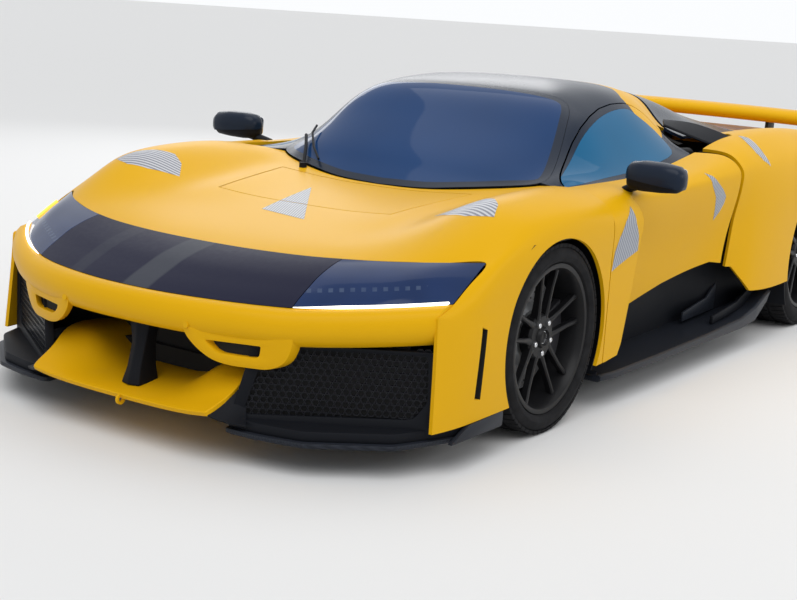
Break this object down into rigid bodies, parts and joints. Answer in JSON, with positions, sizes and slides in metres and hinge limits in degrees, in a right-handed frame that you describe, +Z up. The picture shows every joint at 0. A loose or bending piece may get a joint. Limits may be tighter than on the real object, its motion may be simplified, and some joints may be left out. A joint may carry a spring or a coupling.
{
  "type": "supercar",
  "caption": "Low mid-engined two-seat supercar with upward-opening doors, black visor nose, steered front wheels, opening lids and an adjustable rear wing.",
  "frame": {"origin": "on the ground under the middle of the car's length and width, wheels resting on z = 0", "axes": "+Z up, nose towards -Y, tail towards +Y, the car's left side towards +X"},
  "size_m": [2.24, 4.8298, 1.138],
  "materials": {
    "body_paint": "satin",
    "black_trim": "gloss",
    "visor_black": "satin",
    "lamp_lens": "gloss",
    "carbon": "satin",
    "mesh": "matt",
    "screen_glass": "clear",
    "side_glass": "clear",
    "roof_black": "gloss",
    "tail_lamp": "gloss",
    "steel": "brushed",
    "alloy": "cast",
    "wheel_black": "satin",
    "tyre_rubber": "matt",
    "disc_grey": "machined",
    "seat_cloth": "woven",
    "cabin_trim": "matt",
    "tub_carbon": "matt"
  },
  "bodies": {
    "chassis": {"front_clamshell": "body_paint", "visor": "visor_black", "headlamps": "lamp_lens", "windscreen": "screen_glass", "roof": "roof_black", "rear_wings": "body_paint", "tail_deck": "body_paint", "tail_panel": "black_trim", "tail_lamps": "tail_lamp", "exhausts": "steel", "diffuser": "carbon", "nose_tray": "body_paint", "tray_post": "black_trim", "splitter": "carbon", "side_grilles": "mesh", "nose_carrier": "black_trim", "front_wheel_housings": "cabin_trim", "rear_wheel_housings": "cabin_trim", "side_skirts": "carbon", "side_ducts": "carbon", "shoulder_ducts": "carbon", "shoulder_blades": "roof_black", "tub": "tub_carbon", "nose_bar": "body_paint", "engine": "alloy", "front_subframe": "steel", "rear_subframe": "steel", "seat_left": "seat_cloth", "seat_right": "seat_cloth", "dashboard": "cabin_trim"},
    "front_lid": {"front_lid": "body_paint"},
    "engine_lid": {"engine_lid": "body_paint"},
    "rear_wing": {"rear_wing": "body_paint"},
    "steering_wheel": {"steering_wheel": "cabin_trim"},
    "door_left": {"door_left": "body_paint", "door_glass_left": "side_glass", "mirror_left": "black_trim"},
    "knuckle_left": {"knuckle_left": "alloy"},
    "wheel_front_left": {"rim_front_left": "wheel_black", "tyre_front_left": "tyre_rubber", "disc_front_left": "disc_grey"},
    "wheel_rear_left": {"rim_rear_left": "wheel_black", "tyre_rear_left": "tyre_rubber", "disc_rear_left": "disc_grey"},
    "door_right": {"door_right": "body_paint", "door_glass_right": "side_glass", "mirror_right": "black_trim"},
    "knuckle_right": {"knuckle_right": "alloy"},
    "wheel_front_right": {"rim_front_right": "wheel_black", "tyre_front_right": "tyre_rubber", "disc_front_right": "disc_grey"},
    "wheel_rear_right": {"rim_rear_right": "wheel_black", "tyre_rear_right": "tyre_rubber", "disc_rear_right": "disc_grey"}
  },
  "joints": [
    {"name": "front_lid_hinge", "type": "hinge", "parent": "chassis", "child": "front_lid", "pos_m": [0, -1.016, 0.744], "axis": [-1, 0, 0], "range_deg": [0, 50]},
    {"name": "engine_lid_hinge", "type": "hinge", "parent": "chassis", "child": "engine_lid", "pos_m": [0, 0.5825, 1.09], "axis": [1, 0, 0], "range_deg": [0, 45]},
    {"name": "rear_wing_slide", "type": "slide", "parent": "chassis", "child": "rear_wing", "axis": [0, 0, 1], "range_m": [-0.02, 0.06]},
    {"name": "door_left_hinge", "type": "hinge", "parent": "chassis", "child": "door_left", "pos_m": [0.958, -0.923, 0.786], "axis": [0.7071, 0, -0.7071], "range_deg": [0, 70]},
    {"name": "steer_left", "type": "hinge", "parent": "chassis", "child": "knuckle_left", "pos_m": [0.8, -1.295, 0.34], "axis": [0, 0, 1], "range_deg": [-30, 30]},
    {"name": "spin_front_left", "type": "hinge", "parent": "knuckle_left", "child": "wheel_front_left", "pos_m": [0.8505, -1.295, 0.34], "axis": [1, 0, 0], "continuous": true},
    {"name": "spin_rear_left", "type": "hinge", "parent": "chassis", "child": "wheel_rear_left", "pos_m": [0.83, 1.37, 0.37], "axis": [1, 0, 0], "continuous": true},
    {"name": "door_right_hinge", "type": "hinge", "parent": "chassis", "child": "door_right", "pos_m": [-0.958, -0.923, 0.786], "axis": [0.7071, 0, 0.7071], "range_deg": [0, 70]},
    {"name": "steer_right", "type": "hinge", "parent": "chassis", "child": "knuckle_right", "pos_m": [-0.8, -1.295, 0.34], "axis": [0, 0, 1], "range_deg": [-30, 30]},
    {"name": "spin_front_right", "type": "hinge", "parent": "knuckle_right", "child": "wheel_front_right", "pos_m": [-0.8505, -1.295, 0.34], "axis": [1, 0, 0], "continuous": true},
    {"name": "spin_rear_right", "type": "hinge", "parent": "chassis", "child": "wheel_rear_right", "pos_m": [-0.83, 1.37, 0.37], "axis": [1, 0, 0], "continuous": true},
    {"name": "steering_wheel_turn", "type": "hinge", "parent": "chassis", "child": "steering_wheel", "pos_m": [0.35, -0.395, 0.64], "axis": [0, 0.9272, 0.3746], "range_deg": [-195, 195]}
  ],
  "couplings": [
    {"joint": "steer_right", "follows": "steer_left", "ratio": 1},
    {"joint": "steering_wheel_turn", "follows": "steer_left", "ratio": 6.5}
  ]
}
